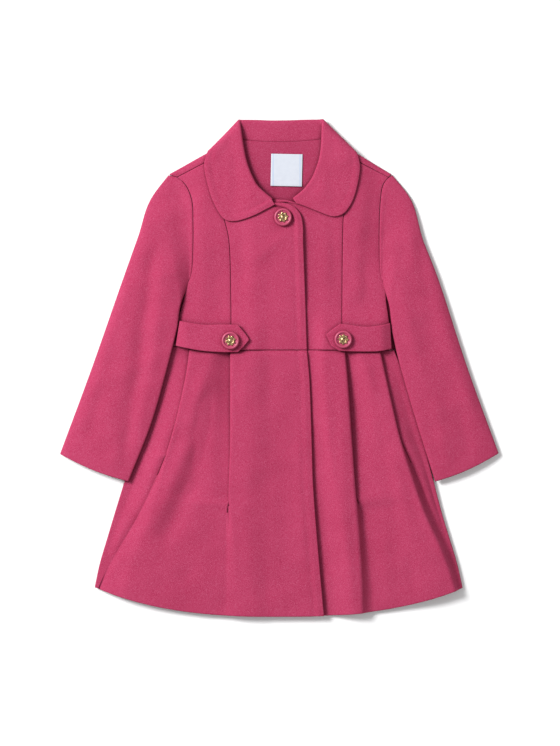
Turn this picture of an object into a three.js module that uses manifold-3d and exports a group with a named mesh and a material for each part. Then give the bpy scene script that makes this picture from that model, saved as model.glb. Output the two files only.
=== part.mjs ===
// A small girl's wool overcoat, laid flat on its back: princess-seamed bodice, flared skirt with
// two knife pleats in each front, round collar on a stand, plain sleeves, and a buttoned tab on
// each side of the waist. Millimetres, +Z up off the surface, +Y towards the collar.
// Right and left are the wearer's, so the right side lies at negative X.
import * as THREE from 'three';
import { mergeVertices } from 'three/addons/utils/BufferGeometryUtils.js';
import Module from 'manifold-3d';

const wasm = await Module();
wasm.setup();

// Cloth and seams
const cloth = 2.2; // wall of the melton
const halfCloth = cloth / 2;
const facingCloth = 1.4;
const labelCloth = 0.8;
const tabCloth = 3.2; // two layers turned out
const tabSeat = 0.55; // air under a tab
const seamGap = 0.3;
const halfGap = seamGap / 2;

// Middle heights of the layers
const backHeight = halfCloth;
const frontHeight = 4; // lowest front layer, on the back
const layerStep = 3; // from one folded layer to the next
const collarStep = 2.8; // from a front to the collar leaf on it
const neckLift = 4; // fronts over the facing at the neck
const backNeckLift = 2.5; // back over the collar's fallen leaf
const sleeveLift = 5.7; // sleeve that lies on the body's side edge

// Levels up the coat
const waistLevel = 20.5;
const underarmLevel = 95.3;
const hemCentre = -285.5;
const hemRise = 33; // hem at the side seams, above the middle
const hemHalfWidth = 211;

// Skirt sections from the waist (level 0) to the hem (level 1): distances from the middle line to
// the side, the two pleat folds and the front edge, how far each fold overlaps the panel that
// leaves it, and the height of the fold over the back.
const skirtRight = [
  { level: 0, side: 129.5, second: 102, first: 55.6, edge: 31.8, overlap: 22, ridge: 9.6 },
  { level: 0.12, side: 140.5, second: 107.3, first: 55.6, edge: 35, overlap: 22, ridge: 10.4 },
  { level: 0.35, side: 160, second: 123.5, first: 55.7, edge: 37.4, overlap: 17, ridge: 11 },
  { level: 0.5, side: 171.3, second: 138, first: 57.3, edge: 38.8, overlap: 12, ridge: 11.6 },
  { level: 0.65, side: 182.8, second: 155, first: 58.5, edge: 42, overlap: 7, ridge: 12 },
  { level: 0.8, side: 194.8, second: 177, first: 59.5, edge: 45.8, overlap: 2, ridge: 12 },
  { level: 0.9, side: 203, second: 191, first: 60.5, edge: 48.6, overlap: -3, ridge: 11.4 },
  { level: 1, side: 211, second: 201, first: 61.5, edge: 51.3, overlap: -6, ridge: 10.6 },
];
const skirtLeft = [
  { level: 0, side: 129.5, second: 114.7, first: 74.5, edge: -27, overlap: 20, ridge: 9.6 },
  { level: 0.12, side: 140.3, second: 122.6, first: 77.8, edge: -24, overlap: 20, ridge: 10.6 },
  { level: 0.35, side: 159.5, second: 138, first: 82.5, edge: -21, overlap: 17, ridge: 12 },
  { level: 0.5, side: 171.6, second: 151.5, first: 85.8, edge: -20, overlap: 12, ridge: 12.8 },
  { level: 0.65, side: 183, second: 166, first: 89.6, edge: -17, overlap: 7, ridge: 13.4 },
  { level: 0.8, side: 194.8, second: 185, first: 92.6, edge: -13, overlap: 2, ridge: 13.6 },
  { level: 0.9, side: 203, second: 195, first: 94, edge: -10, overlap: -3, ridge: 13.2 },
  { level: 1, side: 210.5, second: 203, first: 94.5, edge: -8, overlap: -6, ridge: 12.4 },
];

// Bodice lines from the waist up, as [distance from the middle line, height up the coat]
const sideRight = [[129.5, 20.5], [123, 40], [115.4, 60], [110.6, 76], [107, 95.3]];
const sideLeft = [[129.5, 20.5], [127.6, 40], [125.2, 60], [123, 76], [121.4, 95.3]];
const armholeRight = [
  [107, 95.3], [103.2, 102], [100.3, 116], [99.2, 138], [99, 165], [100.5, 193], [107.6, 210], [117.5, 219],
];
const armholeLeft = [
  [121.4, 95.3], [118, 102], [115.7, 116], [115, 138], [114.9, 162], [116.2, 192], [119.2, 210], [125.5, 219],
];
const princessRight = [
  [55.6, 20.5], [55.4, 50], [55.6, 78], [57.9, 147], [62.5, 168], [70, 195], [80, 237.8],
];
const princessLeft = [[74.5, 20.5], [72, 50], [72, 78], [72.6, 147], [73.4, 172], [77, 200], [84, 239.4]];
// The right front's free edge runs on round the top corner to the start of the collar, so its
// distances change sign on the way
const freeEdgeRight = [
  [-31.8, 20.5], [-30, 78], [-27.5, 147], [-27.2, 163], [-24, 176.5], [-15.2, 185.8], [-2, 189.6],
];
const freeEdgeLeft = [[-27, 20.5], [-25, 78], [-24, 147], [-22, 172], [-12, 190], [0, 193.4]];
// Shoulder roll of the back: its outer line, and the seam that it meets on the front
const shoulderRight = { neck: [56, 260], tip: [126, 221.6], neckSeam: [56, 250], tipSeam: [117.5, 219] };
const shoulderLeft = { neck: [61, 261.5], tip: [128.5, 221.4], neckSeam: [61, 251], tipSeam: [125.5, 219] };
// Back neckline, from the right neck point to the left one
const backNeckline = [[-53, 260.6], [-30, 258.8], [-10, 257.2], [10, 257.2], [32, 259], [58, 262]];

// Sleeves from the armhole to the cuff: outer edge, inner edge, and how far the section rises
const sleeveRows = {
  right: [
    { at: 0, outer: [129, 220.4], inner: [108.8, 94.6], rise: 3 },
    { at: 0.12, outer: [147.4, 192.6], inner: [112.6, 73.5], rise: 5 },
    { at: 0.28, outer: [160.3, 157.4], inner: [117, 50], rise: 6 },
    { at: 0.5, outer: [184, 94], inner: [127.5, 8], rise: 6 },
    { at: 0.75, outer: [216.5, -2], inner: [147, -61], rise: 6 },
    { at: 1, outer: [251, -99.5], inner: [174, -130], rise: 5.2 },
  ],
  left: [
    { at: 0, outer: [131.6, 219.8], inner: [123, 94.6], rise: 3 },
    { at: 0.12, outer: [151.3, 192.6], inner: [125.6, 72], rise: 5 },
    { at: 0.28, outer: [164.4, 151], inner: [130.5, 46], rise: 6 },
    { at: 0.5, outer: [186, 98], inner: [140.2, 4], rise: 6 },
    { at: 0.75, outer: [217.6, -2], inner: [158.4, -57], rise: 6 },
    { at: 1, outer: [251, -98.7], inner: [179.4, -130.3], rise: 5.2 },
  ],
};
// How far the cuff bows past the line between its corners
const cuffBow = 3;

// Collar from each front end to the middle of the back: the seam of the stand, the fold, the
// leaf's edge, and how far the leaf has turned round the shoulder to lie behind the back
const collarRight = [
  { seam: [8, 190.4], fold: [8.2, 193], edge: [4.6, 187], behind: 0 },
  { seam: [19.4, 197.4], fold: [17.5, 200.7], edge: [15, 181.4], behind: 0 },
  { seam: [29.6, 205.4], fold: [26, 209], edge: [31.6, 173.3], behind: 0 },
  { seam: [37.2, 215.6], fold: [31.4, 219], edge: [50.7, 167.9], behind: 0 },
  { seam: [43.6, 226.4], fold: [35.6, 229], edge: [64.5, 171.5], behind: 0 },
  { seam: [48.9, 238.6], fold: [38.9, 240], edge: [76, 190.5], behind: 0 },
  { seam: [53, 250], fold: [41.2, 251.5], edge: [82.8, 212], behind: 0 },
  { seam: [54.6, 256], fold: [43, 263], edge: [86.2, 232], behind: 0 },
  { seam: [54.4, 260], fold: [44.4, 275], edge: [85.2, 246], behind: 0.12 },
  { seam: [52.6, 262.6], fold: [44.8, 282], edge: [82.8, 250.4], behind: 0.5 },
  { seam: [50, 262.4], fold: [43, 283.6], edge: [83.6, 248.4], behind: 0.97 },
  { seam: [46, 261.8], fold: [39, 283.7], edge: [84, 238], behind: 1 },
  { seam: [30, 259.4], fold: [26, 283.6], edge: [62, 224], behind: 1 },
  { seam: [10, 257.8], fold: [10, 283], edge: [24, 220.5], behind: 1 },
];
const collarLeft = [
  { seam: [17.2, 190.6], fold: [15.7, 193.8], edge: [19.4, 188.4], behind: 0 },
  { seam: [29.4, 199], fold: [26.5, 202.4], edge: [30, 184.8], behind: 0 },
  { seam: [38, 206.6], fold: [33.5, 210.5], edge: [46, 178.4], behind: 0 },
  { seam: [45.4, 216], fold: [38.8, 218.8], edge: [62, 173.3], behind: 0 },
  { seam: [51, 226.2], fold: [42.6, 228], edge: [74.5, 177.4], behind: 0 },
  { seam: [55.6, 237], fold: [45.9, 238], edge: [83.8, 190.8], behind: 0 },
  { seam: [58.4, 250.6], fold: [48, 249], edge: [89.6, 209.4], behind: 0 },
  { seam: [59.6, 257], fold: [49, 262], edge: [92.6, 229.6], behind: 0 },
  { seam: [59.2, 261.4], fold: [49, 275], edge: [92.4, 244], behind: 0.12 },
  { seam: [57.4, 264], fold: [48.4, 282.6], edge: [90.2, 249.4], behind: 0.5 },
  { seam: [54.6, 263.4], fold: [46, 284], edge: [90.6, 247.4], behind: 0.97 },
  { seam: [50, 262.4], fold: [42, 284], edge: [90, 237], behind: 1 },
  { seam: [32, 259.6], fold: [28, 283.8], edge: [66, 224], behind: 1 },
  { seam: [12, 257.8], fold: [12, 283.2], edge: [26, 220.5], behind: 1 },
];
// Half widths of the neck facing on each side, down from the back neckline
const facingRows = [
  { up: 256.6, right: 44, left: 50 },
  { up: 240, right: 42, left: 48 },
  { up: 222, right: 35, left: 42 },
  { up: 206, right: 25, left: 33 },
  { up: 192, right: 12, left: 20 },
  { up: 186, right: 3, left: 11 },
];
const label = { across: 8.3, up: 226.9, width: 36, length: 37, turn: -0.021 };

// Waist tabs: outline stations from the side to the point
const tabRight = [
  { top: [-113, 54], bottom: [-117.6, 25.2] },
  { top: [-102, 51.8], bottom: [-104, 22] },
  { top: [-86.7, 49.6], bottom: [-87.8, 19.2] },
  { top: [-67.1, 49.8], bottom: [-68, 17.9] },
  { top: [-47.4, 49.5], bottom: [-47.4, 17.9] },
  { top: [-40.4, 41.2], bottom: [-41, 24] },
  { top: [-34.6, 33.2], bottom: [-34.6, 31.6] },
];
const tabLeft = [
  { top: [125.6, 51.4], bottom: [127.6, 22] },
  { top: [113, 48.4], bottom: [114, 18.9] },
  { top: [98, 47.3], bottom: [98, 18.4] },
  { top: [80, 49.6], bottom: [80, 18.8] },
  { top: [69.4, 50.6], bottom: [68.6, 19.4] },
  { top: [60.6, 44.2], bottom: [59.6, 24.6] },
  { top: [53.8, 38.6], bottom: [53.8, 36.8] },
];

const finish = (name, color, roughness, metalness = 0) => (
  new THREE.MeshStandardMaterial({ name, color, roughness, metalness })
);
const wool = (name) => finish(name, 0xc04066, 0.92);

const clamp01 = (value) => Math.min(1, Math.max(0, value));
const lerp = THREE.MathUtils.lerp;
const point = (x, y, z) => new THREE.Vector3(x, y, z);
// Smooth step from 0 at start to 1 at end, in either direction
const ease = (start, end, value) => {
  const part = clamp01((value - start) / (end - start));
  return part * part * (3 - 2 * part);
};
const steps = (count) => Array.from({ length: count + 1 }, (_, step) => step / count);

// Reads one column of a table at a key between its rows, with a smooth slope through them
function read(rows, key, column, value) {
  const last = rows.length - 2;
  const row = Math.min(last, Math.max(0, rows.findIndex((entry) => entry[key] > value) - 1));
  const index = value >= rows[rows.length - 1][key] ? last : row;
  const slope = (where) => {
    const before = rows[Math.max(0, where - 1)];
    const after = rows[Math.min(rows.length - 1, where + 1)];
    return (after[column] - before[column]) / (after[key] - before[key]);
  };
  const span = rows[index + 1][key] - rows[index][key];
  const t = (value - rows[index][key]) / span;
  const from = rows[index][column];
  const to = rows[index + 1][column];
  const m0 = slope(index) * span;
  const m1 = slope(index + 1) * span;
  const t2 = t * t;
  const t3 = t2 * t;
  return from * (2 * t3 - 3 * t2 + 1) + to * (3 * t2 - 2 * t3) + m0 * (t3 - 2 * t2 + t) + m1 * (t3 - t2);
}

// A smooth line through [x, y] pairs, read by its share of length; sign mirrors it to a side
function line(pairs, sign = 1) {
  const points = pairs.map(([x, y]) => point(sign * x, y, 0));
  const curve = new THREE.CatmullRomCurve3(points, false, 'centripetal');
  return (share) => curve.getPointAt(clamp01(share));
}

// Middle height of the back
const backAt = (x, y) => backHeight + backNeckLift * ease(195, 215, y) * (1 - ease(96, 112, Math.abs(x)));

// Middle height of the lowest front layer
const frontAt = (x, y) => frontHeight + neckLift * ease(100, 165, y) * (1 - ease(85, 118, Math.abs(x)));

// Where the fronts rise over the pleat stacks at the waist, on each side
const stack = {
  right: { start: 10, full: 31, fullEnd: 104, end: 126 },
  left: { start: 36, full: 52, fullEnd: 114.5, end: 131 },
};
const stackHeight = 9.6;
const stackFade = 56; // how far up the bodice the rise lasts

// Middle height of a side's bodice; the right front lies over the left one in the middle
function bodiceAt(side, x, y) {
  const across = side.sign * x;
  const over = side.name === 'right' ? layerStep * (1 - ease(26, 56, across)) : 0;
  const flat = frontAt(x, y) + over;
  const place = side.stack;
  const raised = ease(place.start, place.full, across) * (1 - ease(place.fullEnd, place.end, across));
  const atWaist = 1 - ease(waistLevel + 6, waistLevel + stackFade, y);
  return flat + Math.max(0, stackHeight - flat) * raised * atWaist;
}

const hemAt = (x) => hemCentre + hemRise * (Math.abs(x) / hemHalfWidth) ** 2.6;

// A closed wall round a grid of middle points, rows by columns; a ring's columns join up, and its
// wall is open at both ends. The thickness may change from row to row.
function wall(rows, thickness, ring = false) {
  const count = rows[0].length;
  const last = rows.length - 1;
  const wrap = (column) => (ring ? (column + count) % count : Math.min(count - 1, Math.max(0, column)));
  const positions = [];
  for (const face of [1, -1]) {
    rows.forEach((row, r) => {
      const half = (typeof thickness === 'function' ? thickness(r / last) : thickness) / 2;
      row.forEach((middle, c) => {
        const across = row[wrap(c + 1)].clone().sub(row[wrap(c - 1)]);
        const along = rows[Math.min(last, r + 1)][c].clone().sub(rows[Math.max(0, r - 1)][c]);
        const normal = across.cross(along).normalize();
        positions.push(...middle.clone().addScaledVector(normal, face * half).toArray());
      });
    });
  }
  const under = rows.length * count;
  const at = (r, c) => r * count + wrap(c);
  const index = [];
  const quad = (a, b, c, d) => index.push(a, b, c, a, c, d);
  const columns = ring ? count : count - 1;
  for (let r = 0; r < last; r += 1) {
    for (let c = 0; c < columns; c += 1) {
      quad(at(r, c), at(r, c + 1), at(r + 1, c + 1), at(r + 1, c));
      quad(under + at(r, c), under + at(r + 1, c), under + at(r + 1, c + 1), under + at(r, c + 1));
    }
    if (!ring) {
      quad(at(r, 0), at(r + 1, 0), under + at(r + 1, 0), under + at(r, 0));
      quad(at(r, count - 1), under + at(r, count - 1), under + at(r + 1, count - 1), at(r + 1, count - 1));
    }
  }
  for (let c = 0; c < columns; c += 1) {
    quad(at(0, c), under + at(0, c), under + at(0, c + 1), at(0, c + 1));
    quad(at(last, c), at(last, c + 1), under + at(last, c + 1), under + at(last, c));
  }
  const geometry = new THREE.BufferGeometry();
  geometry.setAttribute('position', new THREE.Float32BufferAttribute(positions, 3));
  geometry.setIndex(index);
  return facingOut(geometry);
}

// Turns the triangles of a closed mesh round where they face inwards
function facingOut(geometry) {
  const index = geometry.index.array;
  const corner = (i) => new THREE.Vector3().fromBufferAttribute(geometry.attributes.position, index[i]);
  let volume = 0;
  for (let i = 0; i < index.length; i += 3) volume += corner(i).dot(corner(i + 1).cross(corner(i + 2)));
  if (volume < 0) {
    for (let i = 0; i < index.length; i += 3) [index[i + 1], index[i + 2]] = [index[i + 2], index[i + 1]];
  }
  return geometry;
}

function joined(geometries) {
  const solids = geometries.map((geometry) => {
    const bare = geometry.clone();
    bare.deleteAttribute('normal');
    bare.deleteAttribute('uv');
    const merged = mergeVertices(bare);
    return new wasm.Manifold(new wasm.Mesh({
      numProp: 3,
      vertProperties: new Float32Array(merged.attributes.position.array),
      triVerts: new Uint32Array(merged.index.array),
    }));
  });
  const mesh = solids.reduce((sum, solid) => sum.add(solid)).getMesh();
  const geometry = new THREE.BufferGeometry();
  geometry.setAttribute('position', new THREE.BufferAttribute(mesh.vertProperties, 3));
  geometry.setIndex(new THREE.BufferAttribute(mesh.triVerts, 1));
  return geometry;
}

const right = {
  name: 'right', sign: -1, skirt: skirtRight, stack: stack.right, side: sideRight, armhole: armholeRight,
  princess: princessRight, freeEdge: freeEdgeRight, shoulder: shoulderRight, collar: collarRight,
  sleeve: sleeveRows.right, tab: tabRight, centre: { start: 8, full: 31.6, height: frontHeight + layerStep },
};
const left = {
  name: 'left', sign: 1, skirt: skirtLeft, stack: stack.left, side: sideLeft, armhole: armholeLeft,
  princess: princessLeft, freeEdge: freeEdgeLeft, shoulder: shoulderLeft, collar: collarLeft,
  sleeve: sleeveRows.left, tab: tabLeft, centre: { start: 36, full: 53, height: frontHeight },
};
const sides = [right, left];

// One section of a front skirt, as [distance from the middle line, height] from the side inwards.
// Each pleat is a fold that overlaps the next panel near the waist and opens to a ridge at the hem.
const foldRadius = 1.6;
const foldTurn = [0, 0.5, 1, 1, 1.5, 2].map((turn) => turn / 2); // share of the rise, folded
const foldSlope = [0, 0.2, 0.4, 0.6, 0.8, 1]; // share of the rise, opened
function skirtSection(side, level) {
  const at = (column) => read(side.skirt, 'level', column, level);
  const [edge, first, second, outer] = ['edge', 'first', 'second', 'side'].map(at);
  const overlap = at('overlap');
  const ridge = at('ridge');
  const folded = ease(0, 6, overlap);
  const radius = foldRadius * ease(2, 10, overlap);
  const pleat = (place) => foldSlope.map((slope, step) => {
    const rounded = step === 1 || step === 4 ? 0 : radius;
    const inward = step < 3 ? -rounded : rounded;
    const reach = overlap * lerp(1 - slope, step < 3 ? 1 : 0, folded);
    return [place - reach - inward, lerp(frontHeight, ridge, lerp(slope, foldTurn[step], folded))];
  });
  const low = (place) => place - overlap + radius;
  const panel = (from, to, count, heightAt) => steps(count).slice(1, -1).map((share) => {
    const across = lerp(from, to, share);
    return [across, heightAt(across)];
  });
  // The middle panel stays on the second fold's return, then drops to pass under the first fold
  const keep = Math.max(overlap, 0) + 2;
  const middle = panel(second - radius, low(first), 9, (across) => (
    lerp(frontHeight, ridge, ease(Math.max(first, low(first)) + 2.5, second - keep, across))
  ));
  const { start, full, height } = side.centre;
  const spread = ease(0, 1, level);
  const dropFrom = Math.min(first - keep, lerp(full, first - 8, spread));
  const dropTo = lerp(start, side.name === 'left' ? 56 : 12, spread);
  const last = side.name === 'left' ? edge : -edge;
  const centre = panel(first - radius, last, 11, (across) => (
    lerp(height, ridge, ease(dropTo, dropFrom, across))
  ));
  const outside = panel(outer, low(second), 5, () => frontHeight);
  return [
    [outer, frontHeight - 0.3], ...outside, ...pleat(second), ...middle, ...pleat(first), ...centre,
    [last, height],
  ];
}

const skirtTop = waistLevel - halfGap;

function skirtFront(side) {
  return wall(steps(13).map((level) => skirtSection(side, level).map(([across, height]) => {
    const x = side.sign * across;
    return point(x, lerp(skirtTop, hemAt(x), level), height);
  })), cloth);
}

function skirtBack() {
  return wall(steps(10).map((level) => steps(12).map((share) => {
    const x = lerp(-read(skirtRight, 'level', 'side', level), read(skirtLeft, 'level', 'side', level), share);
    return point(x, lerp(skirtTop, hemAt(x) + 1.5, level), backHeight);
  })), cloth);
}

// Bodice panels are ruled between their two long seams
function ruledPanel(outer, inner, height, rows, columns) {
  return steps(rows).map((share) => {
    const from = outer(share);
    const to = inner(share);
    return steps(columns).map((across) => {
      const place = from.clone().lerp(to, across);
      const y = Math.max(place.y, waistLevel + halfGap);
      return point(place.x, y, height(place.x, y));
    });
  });
}

const moved = (pairs, across, up = 0) => pairs.map(([x, y]) => [x + across, y + up]);
const shoulderAt = (side, from, to, share) => (
  point(side.sign * lerp(from[0], to[0], share), lerp(from[1], to[1], share), 0)
);

const frontSeam = 0.7;
function sideFront(side) {
  const outer = line(moved([...side.side, ...side.armhole.slice(1)], -frontSeam), side.sign);
  const inner = line(moved(side.princess, halfGap), side.sign);
  return wall(ruledPanel(outer, inner, (x, y) => bodiceAt(side, x, y), 16, 6), cloth);
}

const frontNeckRows = 7; // collar rows up to the shoulder seam
function centreFront(side) {
  const outer = line(moved(side.princess, -halfGap), side.sign);
  const neck = side.collar.slice(0, frontNeckRows).map((row) => row.seam);
  const inner = line([...side.freeEdge, ...moved(neck, 0.6, -1)], side.sign);
  return wall(ruledPanel(outer, inner, (x, y) => bodiceAt(side, x, y), 22, 8), cloth);
}

// The back reaches from the waist to the neckline and the shoulders, and rolls over each shoulder
// to the seam on the front
const rollInset = 2.6; // plate ends this far inside the roll's outer line
const rollTongue = 9; // length of the roll that lies inside the plate
const underarmEase = 2.4; // back cut in under the sleeve
function bodiceBack() {
  const edges = sides.map((side) => {
    const pairs = [...side.side, ...side.armhole.slice(1, -1), side.shoulder.tip];
    return pairs.map(([across, up]) => {
      const cutIn = underarmEase * ease(130, 112, up) * ease(70, 92, up);
      return { up, across: across - cutIn - halfGap };
    });
  });
  const tips = sides.map((side) => side.shoulder.tip);
  const top = [
    [-tips[0][0], tips[0][1] - rollInset], [-shoulderRight.neck[0], shoulderRight.neck[1] - rollInset],
    ...backNeckline,
    [shoulderLeft.neck[0] + 2, shoulderLeft.neck[1] - rollInset], [tips[1][0], tips[1][1] - rollInset],
  ].map(([across, up]) => ({ across, up }));
  const topAt = (x) => {
    const next = Math.max(1, top.findIndex((row) => row.across >= x));
    const before = top[next - 1];
    return lerp(before.up, top[next].up, (x - before.across) / (top[next].across - before.across));
  };
  const bottom = waistLevel + halfGap;
  const plate = wall(steps(16).map((share) => steps(22).map((across) => {
    const up = lerp(bottom, tips[0][1] - rollInset, share);
    const x = lerp(-read(edges[0], 'up', 'across', up), read(edges[1], 'up', 'across', up), across);
    const y = lerp(bottom, topAt(clampTop(x, top)), share);
    return point(x, y, backAt(x, y));
  })), cloth);
  return joined([plate, ...sides.map(shoulderRoll)]);
}
const clampTop = (x, top) => Math.min(top[top.length - 1].across, Math.max(top[0].across, x));

function shoulderRoll(side) {
  const rows = steps(10).map((share) => {
    const rim = shoulderAt(side, side.shoulder.tip, side.shoulder.neck, share);
    const seam = shoulderAt(side, side.shoulder.tipSeam, side.shoulder.neckSeam, share);
    seam.y += seamGap;
    const inward = seam.clone().sub(rim).normalize();
    const low = backAt(rim.x, rim.y);
    const high = bodiceAt(side, rim.x, rim.y);
    const radius = (high - low) / 2;
    const bend = [-1, -0.5, 0, 0.5, 1].map((turn) => {
      const place = rim.clone().addScaledVector(inward, radius * (1 - Math.cos(turn * Math.PI / 2)));
      return point(place.x, place.y, low + radius * (1 + Math.sin(turn * Math.PI / 2)));
    });
    const tongue = rim.clone().addScaledVector(inward, rollTongue);
    const seamPoint = point(seam.x, seam.y, bodiceAt(side, seam.x, seam.y));
    return [point(tongue.x, tongue.y, low), ...bend, seamPoint];
  });
  // Columns become rows, so that the thickness can fall along the tongue
  const turned = rows[0].map((_, column) => rows.map((row) => row[column]));
  return wall(turned, (share) => lerp(cloth * 0.62, cloth, ease(0, 0.17, share)));
}

// A sleeve is a flattened tube from the armhole to the cuff, a little clear of the body below it
const sleeveSeam = 0.8;
const sleeveEase = 3.4;
function sleeve(side) {
  const [first] = side.sleeve;
  const armhole = line([first.outer, ...[...side.armhole].reverse().slice(0, -1), first.inner]);
  const columns = side.sleeve.map(({ at, outer, inner, rise }) => (
    { at, ox: outer[0], oy: outer[1], ix: inner[0], iy: inner[1], rise }
  ));
  const value = (column, at) => read(columns, 'at', column, at);
  const sideRows = side.side.map(([across, up]) => ({ across, up }));
  const bodySide = (y) => {
    if (y > waistLevel) return read(sideRows, 'up', 'across', Math.min(y, underarmLevel));
    return read(side.skirt, 'level', 'side', (waistLevel - y) / (waistLevel - hemAt(hemHalfWidth)));
  };
  const rows = steps(15).map((at) => steps(20).slice(0, -1).map((turn) => {
    const angle = turn * 2 * Math.PI;
    const share = (1 - Math.cos(angle)) / 2;
    const outer = point(value('ox', at), value('oy', at), 0);
    const inner = point(value('ix', at), value('iy', at), 0);
    const place = outer.clone().lerp(inner, share);
    const start = point(columns[0].ox, columns[0].oy, 0).lerp(point(columns[0].ix, columns[0].iy, 0), share);
    place.add(armhole(share).sub(start).multiplyScalar(1 - ease(0, 0.3, at)));
    place.x += sleeveSeam * (1 - ease(0, 0.2, at));
    place.x += sleeveEase * Math.sin(Math.PI * clamp01(at / 0.3));
    place.y -= cuffBow * Math.sin(Math.PI * share) * ease(0.7, 1, at);
    const x = side.sign * place.x;
    const lift = side.name === 'right'
      ? sleeveLift * ease(bodySide(place.y) + 16, bodySide(place.y) + 2, place.x) * ease(0.02, 0.16, at) : 0;
    const head = Math.max(2.9, bodiceAt(side, x, place.y) - backHeight);
    const rise = lerp(head, value('rise', at), ease(0, 0.28, at));
    const round = Math.sign(Math.sin(angle)) * Math.abs(Math.sin(angle)) ** 0.55;
    return point(x, place.y, backHeight + lift + rise * (1 + round) / 2);
  }));
  return wall(rows, cloth, true);
}

// The collar runs from one front end round the back to the other as one sheet: up the stand, round
// the fold, and down the leaf. The step from stand to leaf points up in front, outward over the
// shoulder and down behind the back.
const leafShares = [0.06, 0.2, 0.36, 0.52, 0.68, 0.84, 1];
function collar() {
  const row = ({ seam, fold, edge, behind }, sign) => ({
    sx: sign * seam[0], sy: seam[1], fx: sign * fold[0], fy: fold[1], ex: sign * edge[0], ey: edge[1], behind,
  });
  const list = [
    ...collarRight.map((entry) => row(entry, -1)),
    ...[...collarLeft].reverse().map((entry) => row(entry, 1)),
  ].map((entry, station) => ({ station, ...entry }));
  const last = list.length - 1;
  const rows = steps(2 * last).map((share) => {
    const at = (column) => read(list, 'station', column, share * last);
    const side = share < 0.5 ? right : left;
    const behind = clamp01(at('behind'));
    const turn = behind * Math.PI;
    const seam = point(at('sx'), at('sy'), 0);
    const fold = point(at('fx'), at('fy'), 0);
    const edge = point(at('ex'), at('ey'), 0);
    const outward = point(side.sign * 0.73, 0.68, 0);
    const rising = point(0, 0, Math.cos(turn)).addScaledVector(outward, Math.sin(turn));
    const step = rising.multiplyScalar(collarStep);
    const frontHere = (place) => bodiceAt(side, place.x, place.y);
    const standHeight = (place) => lerp(frontHere(place), backHeight + backNeckLift + 0.3, behind);
    const leafHeight = (place) => lerp(frontHere(place) + collarStep, backHeight, ease(0, 1, behind));
    const into = seam.clone().sub(fold).normalize();
    const foldIn = fold.clone().addScaledVector(into, collarStep / 2);
    foldIn.z = standHeight(foldIn);
    const stand = [0, 0.5].map((part) => {
      const place = seam.clone().lerp(foldIn, part);
      return point(place.x, place.y, standHeight(place));
    });
    const leafStart = foldIn.clone().add(step);
    const bend = foldIn.clone().addScaledVector(step, 0.5).addScaledVector(into, -collarStep / 2);
    const leaf = leafShares.map((part) => {
      const place = leafStart.clone().lerp(edge, part);
      const settled = leafHeight(place);
      return point(place.x, place.y, lerp(leafStart.z, settled, ease(0, 0.3, part)));
    });
    return [...stand, foldIn, bend, leafStart, ...leaf];
  });
  return wall(rows, cloth);
}

const facingSeat = 0.45;
function facing() {
  const rows = steps(10).map((share) => {
    const up = lerp(facingRows[0].up, facingRows[facingRows.length - 1].up, share);
    const rising = [...facingRows].reverse();
    return steps(8).map((across) => {
      const x = lerp(-read(rising, 'up', 'right', up), read(rising, 'up', 'left', up), across);
      return point(x, up, backAt(x, up) + halfCloth + facingSeat + facingCloth / 2);
    });
  });
  return wall(rows, facingCloth);
}

// A tab lies on the bodice and just over the waist seam, so it follows the front's points there,
// moved out square to them
function tab(side) {
  const [top, bottom] = ['top', 'bottom'].map((edge) => line(side.tab.map((row) => row[edge])));
  const heightAt = (x) => bodiceAt(side, x, waistLevel);
  return wall(steps(16).map((share) => steps(3).map((part) => {
    const place = top(share).clone().lerp(bottom(share), part);
    const slope = (heightAt(place.x + 1) - heightAt(place.x - 1)) / 2;
    const out = point(-slope, 0, 1).normalize().multiplyScalar(halfCloth + tabSeat + tabCloth / 2);
    return point(place.x, place.y, heightAt(place.x)).add(out);
  })), tabCloth);
}

// Button with a raised rim round a dished field, and the metal rosette in the dish
const buttonProfile = [
  [0, 0], [8.6, 0], [9.8, 0.6], [10.2, 1.8], [9.9, 3.5], [8.9, 4.6], [7.8, 4.4], [7.2, 3.1], [0, 3],
];
const dish = 3.1;
const rosette = { petals: 8, tip: 5.9, valley: 4.3, height: 0.9 };
function button() {
  const profile = buttonProfile.map(([radius, height]) => new THREE.Vector2(radius, height));
  return new THREE.LatheGeometry(profile, 28).rotateX(Math.PI / 2);
}
function rosetteShape() {
  const outline = new THREE.Shape(steps(rosette.petals * 4).slice(0, -1).map((turn) => {
    const wave = (1 + Math.cos(turn * 2 * Math.PI * rosette.petals)) / 2;
    const radius = lerp(rosette.valley, rosette.tip, wave);
    return new THREE.Vector2(radius * Math.cos(turn * 2 * Math.PI), radius * Math.sin(turn * 2 * Math.PI));
  }));
  return new THREE.ExtrudeGeometry(outline, { depth: rosette.height, bevelEnabled: false });
}

const coat = new THREE.Group();
function add(name, geometry, material = wool('pink wool')) {
  const mesh = new THREE.Mesh(geometry, material);
  mesh.name = name;
  coat.add(mesh);
  return mesh;
}

add('bodice_back', bodiceBack());
add('skirt_back', skirtBack());
for (const side of sides) {
  add(`side_front_${side.name}`, sideFront(side));
  add(`centre_front_${side.name}`, centreFront(side));
  add(`skirt_front_${side.name}`, skirtFront(side));
  add(`sleeve_${side.name}`, sleeve(side));
  add(`tab_${side.name}`, tab(side));
}
add('collar', collar());
add('back_neck_facing', facing());

const satin = finish('white satin', 0xe6e9f2, 0.55);
const labelMesh = add('neck_label', new THREE.BoxGeometry(label.width, label.length, labelCloth), satin);
const facingTop = backHeight + backNeckLift + halfCloth + facingSeat + facingCloth;
labelMesh.position.set(label.across, label.up, facingTop + seamGap + labelCloth / 2);
labelMesh.rotation.z = label.turn;

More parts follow.
